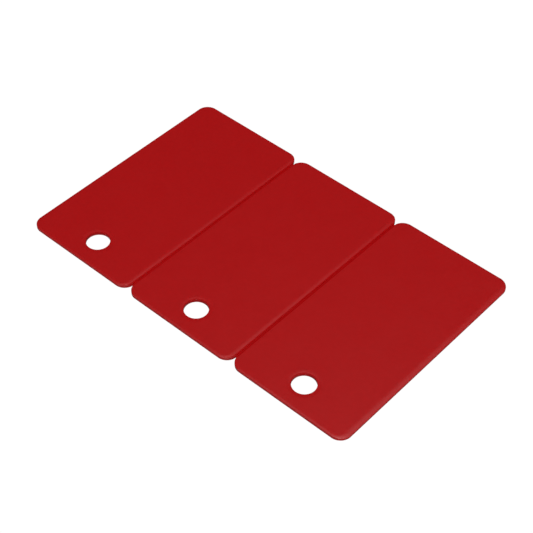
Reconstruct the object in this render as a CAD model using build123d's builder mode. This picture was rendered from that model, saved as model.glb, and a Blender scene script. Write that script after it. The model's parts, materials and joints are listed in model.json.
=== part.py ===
"""Snap-off key tag card: three key tags side by side in one plastic card of standard size.

The card is a fused laminate: two through-coloured core sheets between two thin clear overlays.
Rounded corners, ring holes and the score lines are cut right across the stack, so every tag is
its own stack of four sheets. A thin web is left in each of the two score lines: it joins the
tags, bends as a hinge and is what breaks when a tag is snapped off.

Frame: +X runs along the row of tags, +Y from the ring-hole end to the plain end, +Z up through
the face. The origin is on the underside, below the centre of the card. Millimetres.
"""

import os
from math import radians, tan

from build123d import *

# ---- Driving dimensions ----
card_length = 85.60  # along X, across all three tags
card_width = 53.98  # along Y, which is the length of one tag
card_thickness = 0.76
corner_radius = 2.60  # every corner of every tag
overlay_thickness = 0.05

hole_diameter = 5.10
hole_to_end = 5.90  # hole centre to the end of the tag

web_thickness = 0.25  # plastic left between the two score cuts
web_width = 0.30  # flat bottom of the score cuts, along X
web_to_end = 2.00  # the web stops this far short of the ends, inside the corner notch
web_blank_width = 4 * web_width  # drawn too wide, then cut by the tags, so that its ends flare
score_flank_angle = 20.0  # each flank of a score cut, measured from upright

# The cutting die presses the face down a little around every edge it cuts.
edge_roll_width = 0.60
edge_roll_drop = 0.08
hole_roll_width = 0.35
hole_roll_drop = 0.06

# ---- Worked out from them ----
tag_names = ("left", "middle", "right")
tag_pitch = card_length / len(tag_names)
mid_height = card_thickness / 2
core_top = card_thickness - overlay_thickness
hole_y = hole_to_end - card_width / 2
score_x = {"left": -tag_pitch / 2, "right": tag_pitch / 2}
web_foot = mid_height - web_thickness / 2
flank_run = web_foot * tan(radians(score_flank_angle))


def tag_centre(name):
    """x of the middle of a tag's place in the row, where its ring hole is."""
    return (tag_names.index(name) - 1) * tag_pitch


def outline(name, height):
    """The outline of one tag at the given height. A side on a score line stops at the web."""
    low = tag_centre(name) - tag_pitch / 2
    high = tag_centre(name) + tag_pitch / 2
    if name != "left":
        low += web_width / 2
    if name != "right":
        high -= web_width / 2
    with BuildSketch(Plane.XY.offset(height)) as shape:
        with Locations(((low + high) / 2, 0)):
            RectangleRounded(high - low, card_width, corner_radius)
    return shape.sketch


def sheet(name, bottom, top, rolled):
    """One sheet of a tag with its ring hole and, if rolled, its pressed-down rims."""
    with BuildPart() as blank:
        with BuildSketch(Plane.XY.offset(bottom)):
            add(outline(name, bottom))
            with Locations((tag_centre(name), hole_y)):
                Circle(hole_diameter / 2, mode=Mode.SUBTRACT)
        extrude(amount=top - bottom)
        if rolled:
            face = blank.faces().sort_by(Axis.Z)[-1]
            chamfer(face.outer_wire().edges(), edge_roll_width, edge_roll_drop, reference=face)
            face = blank.faces().filter_by(Axis.Z).sort_by(Axis.Z)[-1]
            chamfer(face.inner_wires()[0].edges(), hole_roll_width, hole_roll_drop, reference=face)
    return blank.part


def write_piece(part, node):
    part.label = node
    export_step(part, f"parts/{node}.step")


# ---- The score cuts, from the face and from the underside, in both score lines ----
with BuildPart() as score_cuts:
    with BuildSketch(Plane.XZ):
        for x in score_x.values():
            for way in (1, -1):
                with BuildLine():
                    Polyline(
                        (x - web_width / 2, mid_height + way * web_thickness / 2),
                        (x + web_width / 2, mid_height + way * web_thickness / 2),
                        (x + web_width / 2 + flank_run, mid_height + way * mid_height),
                        (x - web_width / 2 - flank_run, mid_height + way * mid_height),
                        close=True,
                    )
                make_face()
    extrude(amount=card_width, both=True)

# ---- The four sheets of each tag ----
os.makedirs("parts", exist_ok=True)

for tag in tag_names:
    # Clear film on the face. It follows the pressed-down rims of the core below it.
    with BuildPart() as front_overlay:
        add(sheet(tag, mid_height, card_thickness, rolled=True))
        add(sheet(tag, mid_height, core_top, rolled=True), mode=Mode.SUBTRACT)
        add(score_cuts.part, mode=Mode.SUBTRACT)
    write_piece(front_overlay.part, f"{tag}_tag_front_overlay")

    # Two coloured core sheets, fused together at mid thickness.
    with BuildPart() as front_core:
        add(sheet(tag, mid_height, core_top, rolled=True))
        add(score_cuts.part, mode=Mode.SUBTRACT)
    write_piece(front_core.part, f"{tag}_tag_front_core")

    with BuildPart() as back_core:
        add(sheet(tag, overlay_thickness, mid_height, rolled=False))
        add(score_cuts.part, mode=Mode.SUBTRACT)
    write_piece(back_core.part, f"{tag}_tag_back_core")

    # Clear film on the underside.
    with BuildPart() as back_overlay:
        add(sheet(tag, 0, overlay_thickness, rolled=False))
        add(score_cuts.part, mode=Mode.SUBTRACT)
    write_piece(back_overlay.part, f"{tag}_tag_back_overlay")

# ---- The web left in each score line ----
for side, x in score_x.items():
    with BuildPart() as web:
        with BuildSketch(Plane.XY.offset(web_foot)):
            with Locations((x, 0)):
                Rectangle(web_blank_width, card_width - 2 * web_to_end)
            add(outline(side, web_foot), mode=Mode.SUBTRACT)
            add(outline("middle", web_foot), mode=Mode.SUBTRACT)
        extrude(amount=web_thickness)
    write_piece(web.part, f"{side}_score_web")
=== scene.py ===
import json
from math import cos, pi, radians, sin, sqrt, tan

import bmesh
import bpy
from mathutils import Matrix, Vector


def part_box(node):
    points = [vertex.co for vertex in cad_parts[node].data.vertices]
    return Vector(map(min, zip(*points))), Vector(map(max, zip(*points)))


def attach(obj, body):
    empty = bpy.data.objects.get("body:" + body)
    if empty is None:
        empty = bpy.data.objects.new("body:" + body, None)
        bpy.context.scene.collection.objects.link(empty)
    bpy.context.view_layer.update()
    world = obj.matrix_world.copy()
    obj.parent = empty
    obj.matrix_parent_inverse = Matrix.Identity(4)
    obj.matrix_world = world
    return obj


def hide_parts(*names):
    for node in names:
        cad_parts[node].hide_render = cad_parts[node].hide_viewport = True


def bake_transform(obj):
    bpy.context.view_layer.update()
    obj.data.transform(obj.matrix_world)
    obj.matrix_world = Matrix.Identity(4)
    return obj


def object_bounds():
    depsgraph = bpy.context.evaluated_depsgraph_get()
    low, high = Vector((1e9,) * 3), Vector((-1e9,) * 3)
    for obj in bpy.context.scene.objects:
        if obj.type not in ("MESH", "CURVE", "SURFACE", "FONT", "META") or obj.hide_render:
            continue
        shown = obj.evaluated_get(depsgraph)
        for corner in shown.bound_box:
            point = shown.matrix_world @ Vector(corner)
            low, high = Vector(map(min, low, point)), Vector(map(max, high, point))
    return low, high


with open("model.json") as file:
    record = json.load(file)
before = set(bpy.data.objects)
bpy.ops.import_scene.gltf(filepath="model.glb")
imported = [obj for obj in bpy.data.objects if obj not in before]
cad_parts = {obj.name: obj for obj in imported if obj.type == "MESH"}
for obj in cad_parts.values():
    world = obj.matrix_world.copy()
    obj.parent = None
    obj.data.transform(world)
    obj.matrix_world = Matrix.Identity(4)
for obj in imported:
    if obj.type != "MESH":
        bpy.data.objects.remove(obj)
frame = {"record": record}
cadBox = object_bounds()
record = frame["record"]
mounts = {mount["name"]: mount for mount in record["mounts"]}

# A snap-off key tag card: three laminated plastic tags joined by two scored lines.
# Each tag is four sheets, from the face down: clear film, core, core, clear film.

card = {
    "sides": ("left", "middle", "right"),
    "cornerRadius": 0.00260,
    "scoreFlankAngle": 20,      # each flank of a score cut, from upright
    "cornerSteps": 22,
    "sideStep": 0.0016,         # spacing of the mesh along a straight side
    "holeSteps": 84,
    "crispAngle": 40,           # edges that turn by more than this stay crisp
}

mm = 0.001


def tagLimits(side):
    # outline of a tag, taken from its upper core sheet
    low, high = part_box(f"{side}_tag_front_core")
    return low.x, high.x, low.y, high.y


cardTop = cadBox[1].z
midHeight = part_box("middle_tag_back_core")[1].z
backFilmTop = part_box("middle_tag_back_overlay")[1].z
webBox = {side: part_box(f"{side}_score_web") for side in ("left", "right")}
webTop = webBox["left"][1].z
webFoot = webBox["left"][0].z
flankSlope = tan(radians(card["scoreFlankAngle"]))


def outlinePoint(x, y, nx, ny, share, offScore):
    # a place on an outline, the way out of the plastic, what kind of edge it is
    # and how far it lies from the foot of the score cut
    return {"x": x, "y": y, "nx": nx, "ny": ny, "share": share, "offScore": offScore}


def tagOutline(side):
    # walks once round a tag, anticlockwise seen from above
    lowX, highX, lowY, highY = tagLimits(side)
    radius = card["cornerRadius"]
    eastKind = "east" if side == "right" else "eastScore"
    westKind = "west" if side == "left" else "westScore"
    kinds = ["south", eastKind, "north", westKind]
    centres = [
        (highX - radius, lowY + radius),
        (highX - radius, highY - radius),
        (lowX + radius, highY - radius),
        (lowX + radius, lowY + radius),
    ]
    starts = [
        (lowX + radius, lowY, 0, -1),
        (highX, lowY + radius, 1, 0),
        (highX - radius, highY, 0, 1),
        (lowX, highY - radius, -1, 0),
    ]
    lengths = [highX - lowX - 2 * radius, highY - lowY - 2 * radius] * 2
    points = []
    for edge in range(4):
        x0, y0, nx, ny = starts[edge]
        dx, dy = -ny, nx                    # the way along this side
        kind, nextKind = kinds[edge], kinds[(edge + 1) % 4]
        steps = max(2, round(lengths[edge] / card["sideStep"]))
        for step in range(steps):
            along = lengths[edge] * step / steps
            offScore = 0 if "Score" in kind else 1
            x, y = x0 + dx * along, y0 + dy * along
            points.append(outlinePoint(x, y, nx, ny, {kind: 1}, offScore))
        cx, cy = centres[edge]
        for step in range(card["cornerSteps"]):
            part = step / card["cornerSteps"]
            angle = part * pi / 2
            ox = nx * cos(angle) + dx * sin(angle)
            oy = ny * cos(angle) + dy * sin(angle)
            ease = part * part * (3 - 2 * part)
            share = {kind: 1 - ease, nextKind: ease}
            offScore = 1
            if "Score" in kind + nextKind:
                offScore = radius * (1 - abs(ox))
            x, y = cx + radius * ox, cy + radius * oy
            points.append(outlinePoint(x, y, ox, oy, share, offScore))
    return points


def holeOutline(side):
    # the ring hole, taken from its mount
    mount = mounts[f"{side}_ring_hole"]
    cx, cy, _ = mount["pos_m"]
    radius = mount["dims"]["r_mm"] * mm
    points = []
    for step in range(card["holeSteps"]):
        angle = -2 * pi * step / card["holeSteps"]
        nx, ny = -cos(angle), -sin(angle)
        points.append(outlinePoint(cx - nx * radius, cy - ny * radius, nx, ny, {"hole": 1}, 1))
    return points


outlines = {side: (tagOutline(side), holeOutline(side)) for side in card["sides"]}
print("outlines ready")


edges = {
    # the cutting die rolls the face down beside its cuts: how wide, how deep and how round the
    # roll is, how far the rim turns up again, then the last small round on to the cut;
    # in millimetres but for the power, where 1 is a plain bevel
    "rollWidth": {"south": 0.62, "east": 1.35, "north": 0.45, "west": 0.45,
                  "eastScore": 1.24, "westScore": 0.80, "hole": 0.95},
    "rollDrop": {"south": 0.090, "east": 0.215, "north": 0.045, "west": 0.045,
                 "eastScore": 0.165, "westScore": 0.024, "hole": 0.070},
    "rollPower": {"south": 3.0, "east": 2.6, "north": 2.2, "west": 2.2,
                  "eastScore": 1.95, "westScore": 2.9, "hole": 1.6},
    "rimLift": {"south": 0, "east": 0, "north": 0, "west": 0,
                "eastScore": 0.092, "westScore": 0, "hole": 0.032},
    "lipRound": {"south": 0.035, "east": 0.050, "north": 0.030, "west": 0.030,
                 "eastScore": 0.035, "westScore": 0.015, "hole": 0.008},
    "liftFrom": 0.79,       # the part of the roll's width after which its rim turns up
    "rimBurnishAndShade": 0.45,     # how far the smooth burnish of a score or a hole, with its painted shade, spreads on to its rims
    "rollSteps": 14,
    "lipTurns": (30, 60, 90),           # degrees turned at each step of the lip
    "wallSteps": 5,
    "breakTaper": 0.012,    # the lower part of a cut wall leans in a little
    "burr": 0.014,          # the fine round along the lower rim
    "burrTurns": (0, 30, 60, 90),
    "burrFade": 120,        # degrees over which the matt of the cut and its painted lighter red would fade out on it
    "underRings": (0.12, 0.42),         # flat rings inside the burr on the underside
    "flatBand": 0.30,       # flat ring inside the roll, keeps the face shading level
    "hiddenBand": 0.50,     # flat ring on the buried faces between the two lower sheets
}


def mixed(measure, point):
    return sum(share * edges[measure][kind] for kind, share in point["share"].items())


def sheared(point):
    # 1 where the wall is cut by the die and gets the painted lighter red, 0 in the scores and the punched
    # hole, which stay smooth and get the painted shade
    smooth = ("eastScore", "westScore", "hole")
    return 1 - sum(share for kind, share in point["share"].items() if kind in smooth)


def scoreInset(point, height):
    # how far the V of the score cut has taken the wall back at a height
    above = height - webTop
    below = webFoot - height
    return max(0, max(above, below) * flankSlope - point["offScore"])


def rollRows(point, drop):
    # the rolled face, lowered by drop: level ring first, lip last
    width = mixed("rollWidth", point) * mm
    depth = mixed("rollDrop", point) * mm
    lift = mixed("rimLift", point) * mm
    power = mixed("rollPower", point)
    lip = scoreInset(point, cardTop - depth + lift) + mixed("lipRound", point) * mm
    rows = [(width + edges["flatBand"] * mm, cardTop - drop, 0)]
    for step in range(edges["rollSteps"] + 1):
        part = step / edges["rollSteps"]
        inset = width + (lip - width) * part
        rise = lift * max(0, part - edges["liftFrom"]) / (1 - edges["liftFrom"])
        # the rims beside scores and holes take part of the smooth burnish and its painted shade
        burnishAndShade = edges["rimBurnishAndShade"] * (1 - sheared(point)) if part > edges["liftFrom"] else 0
        rows.append((inset, cardTop - drop - depth * part ** power + rise, burnishAndShade))
    return rows


def frontFilmRows(point):
    thickness = film["thickness"]
    lipRound = mixed("lipRound", point) * mm
    rows = rollRows(point, 0)
    inset, height, _ = rows[-1]
    for turn in edges["lipTurns"]:
        outer = inset - lipRound * sin(radians(turn))
        wall = turn / edges["lipTurns"][-1]
        rows.append((outer, height - lipRound * (1 - cos(radians(turn))), wall))
    foot = min(height - lipRound, height - thickness)
    rows.append((scoreInset(point, foot), foot, 1))
    rows.extend(reversed(rollRows(point, thickness)))
    return rows


def wallRows(point, top, foot, leanFrom):
    # a cut wall from top down to foot, leaning in below leanFrom
    rows = []
    for step in range(edges["wallSteps"] + 1):
        height = top + (foot - top) * step / edges["wallSteps"]
        lean = edges["breakTaper"] * mm * max(0, leanFrom - height) / midHeight
        rows.append((scoreInset(point, height) + lean, height, 1))
    return rows


def frontCoreRows(point):
    rows = rollRows(point, film["thickness"])
    rows += wallRows(point, rows[-1][1], midHeight, midHeight)
    rows.append((edges["flatBand"] * mm, midHeight, 1))
    return rows


def backCoreRows(point):
    rows = [(edges["flatBand"] * mm, midHeight, 1)]
    rows += wallRows(point, midHeight, backFilmTop, midHeight)
    rows.append((edges["hiddenBand"] * mm, backFilmTop, 1))
    return rows


def backFilmRows(point):
    # its lower rim is a fine burr, rounded over
    burr = edges["burr"] * mm
    wall = scoreInset(point, 0) + edges["breakTaper"] * mm
    rows = [(edges["hiddenBand"] * mm, backFilmTop, 1), (wall, backFilmTop, 1)]
    for turn in edges["burrTurns"]:
        inset = wall + burr * (1 - cos(radians(turn)))
        rows.append((inset, burr * (1 - sin(radians(turn))), 1 - turn / edges["burrFade"]))
    for ring in edges["underRings"]:
        rows.append((wall + ring * mm, 0, 0))
    return rows


def buildSheet(name, side, rowsAt):
    mesh = bmesh.new()
    cutTone = mesh.verts.layers.float.new("cutTone")
    scoreTone = mesh.verts.layers.float.new("scoreTone")
    ends = {"top": [], "bottom": []}
    for walk in outlines[side]:
        columns = [rowsAt(point) for point in walk]
        rings = []
        for level in range(len(columns[0])):
            ring = []
            for point, column in zip(walk, columns):
                inset, height, wall = column[level]
                x = point["x"] - inset * point["nx"]
                y = point["y"] - inset * point["ny"]
                vert = mesh.verts.new((x, y, height))
                # cutTone marks the die-cut walls: their matt, drag lines and painted lighter red
                vert[cutTone] = wall * sheared(point)
                # scoreTone marks the scores, holes and their rims: smooth burnish and painted shade
                vert[scoreTone] = wall * (1 - sheared(point))
                ring.append(vert)
            rings.append(ring)
        for upper, lower in zip(rings, rings[1:]):
            for here in range(len(walk)):
                after = (here + 1) % len(walk)
                mesh.faces.new((upper[here], lower[here], lower[after], upper[after]))
        ends["top"].append(rings[0])
        ends["bottom"].append(rings[-1])
    for level, up in (("top", 1), ("bottom", -1)):
        rim = []
        for ring in ends[level]:
            for here, vert in enumerate(ring):
                rim.append(mesh.edges.get((vert, ring[(here + 1) % len(ring)])))
        bmesh.ops.triangle_fill(mesh, use_beauty=True, edges=rim, normal=(0, 0, up))
    bmesh.ops.recalc_face_normals(mesh, faces=mesh.faces)
    return meshObject(name, mesh)


def meshObject(name, mesh):
    data = bpy.data.meshes.new(name)
    mesh.to_mesh(data)
    mesh.free()
    data.shade_smooth()
    data.set_sharp_from_angle(angle=radians(card["crispAngle"]))
    piece = bpy.data.objects.new(name, data)
    bpy.context.scene.collection.objects.link(piece)
    return piece


def addNode(tree, kind, x, y, **settings):
    node = tree.nodes.new(kind)
    node.location = (x, y)
    for name, value in settings.items():
        setattr(node, name, value)
    return node


def newGroup(name, inputs, outputs):
    group = bpy.data.node_groups.new(name, "ShaderNodeTree")
    for label, value in inputs:
        kind = "NodeSocketColor" if isinstance(value, tuple) else "NodeSocketFloat"
        socket = group.interface.new_socket(name=label, in_out="INPUT", socket_type=kind)
        socket.default_value = value
    for label, kind in outputs:
        group.interface.new_socket(name=label, in_out="OUTPUT", socket_type=kind)
    start = addNode(group, "NodeGroupInput", -900, 0)
    end = addNode(group, "NodeGroupOutput", 700, 0)
    return group, start, end


def placeGroup(tree, group, x, y, **values):
    node = addNode(tree, "ShaderNodeGroup", x, y, node_tree=group)
    for label, value in values.items():
        node.inputs[label.replace("_", " ")].default_value = value
    return node


def mathNode(tree, operation, x, y, first, second):
    node = addNode(tree, "ShaderNodeMath", x, y, operation=operation)
    for socket, value in zip(node.inputs, (first, second)):
        if isinstance(value, (int, float)):
            socket.default_value = value
        else:
            tree.links.new(value, socket)
    return node.outputs[0]


# scales are per metre, details are octaves
effects = {
    "cloudDetail": 4,
    "speckScale": 1100, "speckDetail": 2,
    "grainDetail": 2, "rippleDetail": 1,
    "hazeScale": 260, "hazeDetail": 5,
    "lineScale": 9000, "lineDetail": 3,
    "lineStretch": 0.12,            # drawn out upright, the way the knife went
    "patchScale": 900, "patchDetail": 3,
    "patchRange": (0.3, 0.7),
    "patchShare": (0.75, 1.0),      # the cut's matt and its painted lighter red are nowhere weaker than this
}


def noiseTexture(group, x, y, place, scale, detail):
    noise = addNode(group, "ShaderNodeTexNoise", x, y)
    noise.inputs["Detail"].default_value = detail
    group.links.new(place, noise.inputs["Vector"])
    if isinstance(scale, (int, float)):
        noise.inputs["Scale"].default_value = scale
    else:
        group.links.new(scale, noise.inputs["Scale"])
    return noise.outputs["Fac"]


def mixValues(group, kind, x, y, factor, first, second):
    mix = addNode(group, "ShaderNodeMix", x, y, data_type=kind)
    for label, value in (("Factor", factor), ("A", first), ("B", second)):
        group.links.new(value, mix.inputs[label])
    return mix.outputs["Result"]


def makePigmentClouds():
    # slow, faint unevenness of the red pigment and a finer speckle in it
    group, start, end = newGroup(
        "pigmentClouds",
        [("Colour", (0.3, 0.01, 0.01, 1)), ("Cloud Size", 0.006),
         ("Cloud Share", 0.03), ("Speck Share", 0.02)],
        [("Color", "NodeSocketColor")],
    )
    links = group.links
    place = addNode(group, "ShaderNodeTexCoord", -900, -300)
    frequency = mathNode(group, "DIVIDE", -700, -100, 1, start.outputs["Cloud Size"])
    clouds = noiseTexture(group, -500, 0, place.outputs["Object"], frequency, effects["cloudDetail"])
    specks = noiseTexture(group, -500, -260, place.outputs["Object"], effects["speckScale"],
                          effects["speckDetail"])
    cloudShift = mathNode(group, "SUBTRACT", -300, 0, clouds, 0.5)
    speckShift = mathNode(group, "SUBTRACT", -300, -260, specks, 0.5)
    cloudGain = mathNode(group, "MULTIPLY", -120, 0, cloudShift, start.outputs["Cloud Share"])
    speckGain = mathNode(group, "MULTIPLY", -120, -260, speckShift, start.outputs["Speck Share"])
    total = mathNode(group, "ADD", 60, -100, cloudGain, speckGain)
    value = mathNode(group, "ADD", 220, -100, total, 1)
    tint = addNode(group, "ShaderNodeHueSaturation", 400, 0)
    links.new(start.outputs["Colour"], tint.inputs["Color"])
    links.new(value, tint.inputs["Value"])
    links.new(tint.outputs["Color"], end.inputs["Color"])
    return group


def makePressPlate():
    # the fine grain and the long, shallow ripple that the polished press plates leave in the film
    group, start, end = newGroup(
        "pressPlate",
        [("Grain Size", 0.00012), ("Grain Depth", 0.3), ("Ripple Size", 0.004), ("Ripple Depth", 1),
         ("Gloss", 0.3), ("Gloss Spread", 0.08)],
        [("Height", "NodeSocketFloat"), ("Roughness", "NodeSocketFloat")],
    )
    links = group.links
    place = addNode(group, "ShaderNodeTexCoord", -900, -400)
    heights = []
    for row, layer in enumerate(("grain", "ripple")):
        size, depth = (start.outputs[f"{layer.title()} {measure}"] for measure in ("Size", "Depth"))
        frequency = mathNode(group, "DIVIDE", -700, -250 * row, 1, size)
        noise = noiseTexture(group, -500, -250 * row, place.outputs["Object"], frequency,
                             effects[f"{layer}Detail"])
        heights.append(mathNode(group, "MULTIPLY", -300, -250 * row, noise, depth))
    links.new(mathNode(group, "ADD", -100, 0, heights[0], heights[1]), end.inputs["Height"])
    haze = noiseTexture(group, -500, -560, place.outputs["Object"], effects["hazeScale"],
                        effects["hazeDetail"])
    shift = mathNode(group, "SUBTRACT", -300, -560, haze, 0.5)
    spread = mathNode(group, "MULTIPLY", -100, -560, shift, start.outputs["Gloss Spread"])
    links.new(mathNode(group, "ADD", 100, -560, spread, start.outputs["Gloss"]), end.inputs["Roughness"])
    return group


def makeCutMarksAndPaintedLight():
    # a die-cut wall: upright drag lines and a matt break, with a lighter red painted on as a painted
    # highlight for the light the wall catches; in the scores and holes a darker red, painted shade
    group, start, end = newGroup(
        "cutMarksAndPaintedLight",
        [("Face Color", (0.3, 0.01, 0.01, 1)), ("Strain Color", (0.4, 0.04, 0.04, 1)),
         ("Face Roughness", 0.3), ("Cut Roughness", 0.6), ("Cut", 0.0), ("Line Depth", 1),
         ("Score Color", (0.3, 0.01, 0.01, 1)), ("Score Roughness", 0.1), ("Score", 0.0)],
        [("Color", "NodeSocketColor"), ("Roughness", "NodeSocketFloat"), ("Height", "NodeSocketFloat")],
    )
    links = group.links
    place = addNode(group, "ShaderNodeTexCoord", -1100, -400)
    stretch = addNode(group, "ShaderNodeMapping", -900, -400)
    stretch.inputs["Scale"].default_value = (1, 1, effects["lineStretch"])
    links.new(place.outputs["Object"], stretch.inputs["Vector"])
    lines = noiseTexture(group, -700, -400, stretch.outputs["Vector"], effects["lineScale"],
                         effects["lineDetail"])
    patches = noiseTexture(group, -700, -150, place.outputs["Object"], effects["patchScale"],
                           effects["patchDetail"])
    uneven = addNode(group, "ShaderNodeMapRange", -500, -150)
    for span, (low, high) in (("From", effects["patchRange"]), ("To", effects["patchShare"])):
        uneven.inputs[f"{span} Min"].default_value = low
        uneven.inputs[f"{span} Max"].default_value = high
    links.new(patches, uneven.inputs["Value"])
    given = start.outputs
    # the painted lighter red of the cut walls, a painted highlight, goes with the cut's matt
    cutMattAndPaintedLight = mathNode(group, "MULTIPLY", -300, -150, uneven.outputs["Result"], given["Cut"])
    # the painted shade of the scores and holes
    scored = mixValues(group, "RGBA", -300, 200, given["Score"], given["Face Color"], given["Score Color"])
    colour = mixValues(group, "RGBA", -100, 100, cutMattAndPaintedLight, scored, given["Strain Color"])
    links.new(colour, end.inputs["Color"])
    burnished = mixValues(group, "FLOAT", -300, 0, given["Score"], given["Face Roughness"],
                          given["Score Roughness"])
    rough = mixValues(group, "FLOAT", -100, -150, cutMattAndPaintedLight, burnished, given["Cut Roughness"])
    links.new(rough, end.inputs["Roughness"])
    drag = mathNode(group, "MULTIPLY", -300, -400, lines, given["Cut"])
    height = mathNode(group, "MULTIPLY", -100, -400, drag, given["Line Depth"])
    links.new(height, end.inputs["Height"])
    return group


pigmentClouds = makePigmentClouds()
pressPlate = makePressPlate()
cutMarksAndPaintedLight = makeCutMarksAndPaintedLight()
print("shared effects ready")


def plasticMaterial(name, look):
    material = bpy.data.materials.new(name)
    material.use_nodes = True
    tree = material.node_tree
    tree.nodes.clear()
    links = tree.links
    out = addNode(tree, "ShaderNodeOutputMaterial", 700, 0)
    shader = addNode(tree, "ShaderNodeBsdfPrincipled", 400, 0)
    shader.inputs["IOR"].default_value = look["ior"]
    links.new(shader.outputs[0], out.inputs[0])
    clouds = placeGroup(tree, pigmentClouds, -700, 200, Colour=look["colour"],
                        Cloud_Size=look["cloudSize"], Cloud_Share=look["cloudShare"],
                        Speck_Share=look["speckShare"])
    plate = placeGroup(tree, pressPlate, -700, -100, Grain_Size=look["grainSize"],
                       Grain_Depth=look["grainDepth"], Ripple_Size=look["rippleSize"],
                       Ripple_Depth=look["rippleDepth"], Gloss=look["roughness"],
                       Gloss_Spread=look["roughnessSpread"])
    cutTone = addNode(tree, "ShaderNodeAttribute", -700, -400, attribute_name="cutTone")
    scoreTone = addNode(tree, "ShaderNodeAttribute", -700, -600, attribute_name="scoreTone")
    # the cut walls are painted a lighter red (a painted highlight), the scores and holes a darker red
    # (painted shade)
    marksAndPaintedLight = placeGroup(tree, cutMarksAndPaintedLight, -350, 0, Strain_Color=look["paintedLitWallColour"],
                       Cut_Roughness=look["cutRoughness"], Line_Depth=look["lineDepth"],
                       Score_Color=look["scoreShadeColour"], Score_Roughness=look["scoreRoughness"])
    links.new(clouds.outputs["Color"], marksAndPaintedLight.inputs["Face Color"])
    links.new(plate.outputs["Roughness"], marksAndPaintedLight.inputs["Face Roughness"])
    links.new(cutTone.outputs["Fac"], marksAndPaintedLight.inputs["Cut"])
    links.new(scoreTone.outputs["Fac"], marksAndPaintedLight.inputs["Score"])
    links.new(marksAndPaintedLight.outputs["Color"], shader.inputs["Base Color"])
    links.new(marksAndPaintedLight.outputs["Roughness"], shader.inputs["Roughness"])
    height = mathNode(tree, "ADD", -100, -250, plate.outputs["Height"], marksAndPaintedLight.outputs["Height"])
    bump = addNode(tree, "ShaderNodeBump", 100, -250)
    bump.inputs["Strength"].default_value = 1
    bump.inputs["Distance"].default_value = look["reliefDepth"]
    links.new(height, bump.inputs["Height"])
    links.new(bump.outputs["Normal"], shader.inputs["Normal"])
    return material


film = {
    "thickness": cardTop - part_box("middle_tag_front_core")[1].z,
    "colour": (0.345, 0.0020, 0.0027, 1),
    "paintedLitWallColour": (0.460, 0.0030, 0.0036, 1),     # painted highlight: a lighter red on the die-cut walls for the light they catch
    "scoreShadeColour": (0.335, 0.0008, 0.0012, 1),      # painted shade: a darker red in the scores and the punched holes
    "cloudSize": 0.007, "cloudShare": 0.045, "speckShare": 0.16,
    "grainSize": 0.0009, "grainDepth": 3.0,
    "rippleSize": 0.0035, "rippleDepth": 0.5,
    "roughness": 0.34, "roughnessSpread": 0.06,
    "cutRoughness": 0.5, "scoreRoughness": 0.08,
    "lineDepth": 0.5,
    "ior": 1.5,
    "reliefDepth": 0.000004,
}

# the core's cut walls get a painted lighter red too, a painted highlight
core = dict(film, paintedLitWallColour=(0.460, 0.0033, 0.0038, 1), lineDepth=0.8)

backFilm = dict(film, roughness=0.38, grainDepth=3.5)

# the web is pressed plastic down in the score, painted a deeper red as shade in the groove, and with
# hardly any shine
web = dict(film, scoreShadeColour=(0.300, 0.0012, 0.0018, 1), scoreRoughness=0.45, ior=1.15)

filmMaterial = plasticMaterial("clearFilmOverRed", film)
coreMaterial = plasticMaterial("redCoreCutEdge", core)
backFilmMaterial = plasticMaterial("clearFilmUnderRed", backFilm)
webMaterial = plasticMaterial("scoredRedWeb", web)

sheets = (
    ("front_overlay", "FaceFilm", frontFilmRows, filmMaterial, "face_film"),
    ("front_core", "UpperCore", frontCoreRows, coreMaterial, "red_core"),
    ("back_core", "LowerCore", backCoreRows, coreMaterial, "red_core"),
    ("back_overlay", "BackFilm", backFilmRows, backFilmMaterial, "back_film"),
)

for side in card["sides"]:
    for nodeEnd, pieceEnd, rowsAt, material, slotName in sheets:
        piece = buildSheet(f"{side}Tag{pieceEnd}", side, rowsAt)
        piece.data.materials.append(material)
        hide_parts(f"{side}_tag_{nodeEnd}")
        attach(piece, f"{side}_tag")
    print(f"{side} tag ready")


scoreWeb = {
    "bladeMark": 0.040 * mm,    # the rounded tips of the two score blades dish the web
    "endSag": 0.10 * mm,        # its ends are drawn in between the corners
    "sagPower": 15,             # how close to the ends that stays
    "acrossSteps": 10,
    "alongSteps": 72,           # on the straight stretch between the corners
    "flareSteps": 10,           # where each end flares against the corners
    "thicknessSteps": 4,
}


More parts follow.
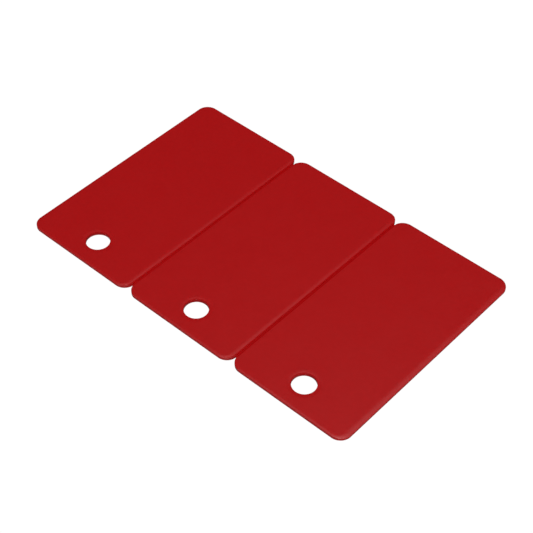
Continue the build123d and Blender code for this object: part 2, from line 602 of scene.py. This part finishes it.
def buildScoreWeb(side):
    low, high = webBox[side]
    centre = (low.x + high.x) / 2
    if side == "left":
        noses = tagLimits("left")[1], tagLimits("middle")[0]
    else:
        noses = tagLimits("middle")[1], tagLimits("right")[0]
    halfWidth = (noses[1] - noses[0]) / 2
    radius = card["cornerRadius"]
    arcStart = tagLimits("middle")[3] - radius       # where the tag corners begin to curve away
    steps, flareSteps = scoreWeb["alongSteps"], scoreWeb["flareSteps"]
    straight = [arcStart * (2 * step / steps - 1) for step in range(steps + 1)]
    flare = [arcStart + (high.y - arcStart) * (step + 1) / flareSteps for step in range(flareSteps)]
    rows = [-y for y in reversed(flare)] + straight + flare
    mesh = bmesh.new()
    scoreTone = mesh.verts.layers.float.new("scoreTone")
    across, along, deep = scoreWeb["acrossSteps"], len(rows) - 1, scoreWeb["thicknessSteps"]
    grid = {}
    for j, rowY in enumerate(rows):
        for i in range(across + 1):
            part = 2 * i / across - 1
            y = rowY - scoreWeb["endSag"] * (1 - part * part) * (rowY / high.y) ** scoreWeb["sagPower"]
            past = max(0, abs(y) - arcStart)
            half = halfWidth + radius - sqrt(radius * radius - past * past)
            dish = scoreWeb["bladeMark"] * (1 - part * part)
            for k in range(deep + 1):
                level = k / deep
                height = webFoot + dish + (webTop - webFoot - 2 * dish) * level
                if k in (0, deep) or j in (0, along) or i in (0, across):
                    vert = mesh.verts.new((centre + half * part, y, height))
                    # the whole web takes the score's painted shade
                    vert[scoreTone] = 1
                    grid[i, j, k] = vert

    def skin(corners):
        mesh.faces.new([grid[corner] for corner in corners])

    for j in range(along):
        for i in range(across):
            for k in (0, deep):
                skin([(i, j, k), (i + 1, j, k), (i + 1, j + 1, k), (i, j + 1, k)])
        for k in range(deep):
            for i in (0, across):
                skin([(i, j, k), (i, j + 1, k), (i, j + 1, k + 1), (i, j, k + 1)])
    for i in range(across):
        for k in range(deep):
            for j in (0, along):
                skin([(i, j, k), (i + 1, j, k), (i + 1, j, k + 1), (i, j, k + 1)])
    bmesh.ops.recalc_face_normals(mesh, faces=mesh.faces)
    piece = meshObject(f"{side}ScoreWeb", mesh)
    piece.data.materials.append(webMaterial)
    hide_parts(f"{side}_score_web")
    height = (webTop + webFoot) / 2
    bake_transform(piece)


for side in ("left", "right"):
    buildScoreWeb(side)
print("score webs ready")


studio = {
    "floorHalf": 4,             # the lit table reaches this far each way, in metres
    "floorGrid": 24,
    "floorDrop": 0.040,         # the lit table is this far below the card, so a folded tag clears it
    "white": 1.02,              # the table and the space round it, as the camera sees them
    "floorGlow": 0.62,          # what the table throws back at the card
    "floorGlint": 0.12,         # and how bright it is as a reflection in the plastic
    "surround": 0.035,          # what the dark studio behind the lights does to both
}

lights = {
    # a round soft key high beside the camera and a wide, weaker one overhead
    "key": {"azimuth": 47, "elevation": 58, "distance": 4.0,
            "diameter": 2.45, "radiance": 10.1},
    "overhead": {"azimuth": 98, "elevation": 82, "distance": 1.2,
                 "diameter": 1.50, "radiance": 1.13},
}

view = {
    "azimuth": 41.35,
    "elevation": 46.05,
    "distance": 0.2835,
    "target": (0.00204, -0.00230, 0),
    "roll": 0.74,
    "lens": 92.55,
    "sensor": 36,
    "clip": (0.01, 20),
}


def seenAndCast(tree, shader, cast, seen, glint, out):
    # its brightness as light on the card, as the camera sees it and as a reflection in the card
    path = addNode(tree, "ShaderNodeLightPath", -200, 300)
    last = None
    uses = ((cast, None), (seen, "Is Camera Ray"), (glint, "Is Glossy Ray"))
    for row, (strength, ray) in enumerate(uses):
        node = addNode(tree, shader, -200, -160 * row)
        node.inputs["Color"].default_value = (1, 1, 1, 1)
        node.inputs["Strength"].default_value = strength
        if ray:
            pick = addNode(tree, "ShaderNodeMixShader", 150 * row, 0)
            tree.links.new(path.outputs[ray], pick.inputs[0])
            tree.links.new(last, pick.inputs[1])
            tree.links.new(node.outputs[0], pick.inputs[2])
            last = pick.outputs[0]
        else:
            last = node.outputs[0]
    tree.links.new(last, out)


def makeFloor():
    mesh = bmesh.new()
    bmesh.ops.create_grid(mesh, x_segments=studio["floorGrid"], y_segments=studio["floorGrid"],
                          size=studio["floorHalf"])
    floor = meshObject("litTable", mesh)
    floor.location.z = cadBox[0].z - studio["floorDrop"]
    material = bpy.data.materials.new("litTableTop")
    material.use_nodes = True
    tree = material.node_tree
    tree.nodes.clear()
    out = addNode(tree, "ShaderNodeOutputMaterial", 700, 0)
    clear = addNode(tree, "ShaderNodeBsdfTransparent", 200, -200)
    facing = addNode(tree, "ShaderNodeNewGeometry", 200, 300)
    pick = addNode(tree, "ShaderNodeMixShader", 450, 0)
    seenAndCast(tree, "ShaderNodeEmission", studio["floorGlow"], studio["white"], studio["floorGlint"],
                pick.inputs[1])
    tree.links.new(facing.outputs["Backfacing"], pick.inputs[0])    # see-through from below
    tree.links.new(clear.outputs[0], pick.inputs[2])
    tree.links.new(pick.outputs[0], out.inputs[0])
    floor.data.materials.append(material)


def directionFrom(azimuth, elevation):
    # azimuth 0 stands on the ring-hole side, 90 on the right
    azimuth, elevation = radians(azimuth), radians(elevation)
    return Vector((sin(azimuth) * cos(elevation), -cos(azimuth) * cos(elevation), sin(elevation)))


def makeSurround():
    world = bpy.data.worlds.new("studioSurround")
    bpy.context.scene.world = world
    world.use_nodes = True
    tree = world.node_tree
    tree.nodes.clear()
    out = addNode(tree, "ShaderNodeOutputWorld", 400, 0)
    seenAndCast(tree, "ShaderNodeBackground", studio["surround"], studio["white"], studio["surround"],
                out.inputs[0])


def makeLight(name, look):
    data = bpy.data.lights.new(name, "AREA")
    data.shape = "DISK"
    data.size = look["diameter"]
    data.energy = look["radiance"] * pi * pi * data.size ** 2 / 4     # a flat disc's whole power
    light = bpy.data.objects.new(name, data)
    way = directionFrom(look["azimuth"], look["elevation"])
    light.location = way * look["distance"]
    light.rotation_mode = "QUATERNION"
    light.rotation_quaternion = (-way).to_track_quat("-Z", "Y")
    light.visible_camera = False
    bpy.context.scene.collection.objects.link(light)


def makeCamera():
    data = bpy.data.cameras.new("camera")
    data.lens = view["lens"]
    data.sensor_width = view["sensor"]
    data.clip_start, data.clip_end = view["clip"]
    data.dof.use_dof = False
    camera = bpy.data.objects.new("camera", data)
    back = directionFrom(view["azimuth"], view["elevation"])
    camera.location = Vector(view["target"]) + back * view["distance"]
    turn = (-back).to_track_quat("-Z", "Y").to_matrix() @ Matrix.Rotation(radians(view["roll"]), 3, "Z")
    camera.rotation_mode = "QUATERNION"
    camera.rotation_quaternion = turn.to_quaternion()
    bpy.context.scene.collection.objects.link(camera)
    bpy.context.scene.camera = camera


makeFloor()
makeSurround()
for name, look in lights.items():
    makeLight(name, look)
makeCamera()
bpy.context.scene.view_settings.view_transform = "Standard"
bpy.context.scene.view_settings.look = "None"
print("studio ready")
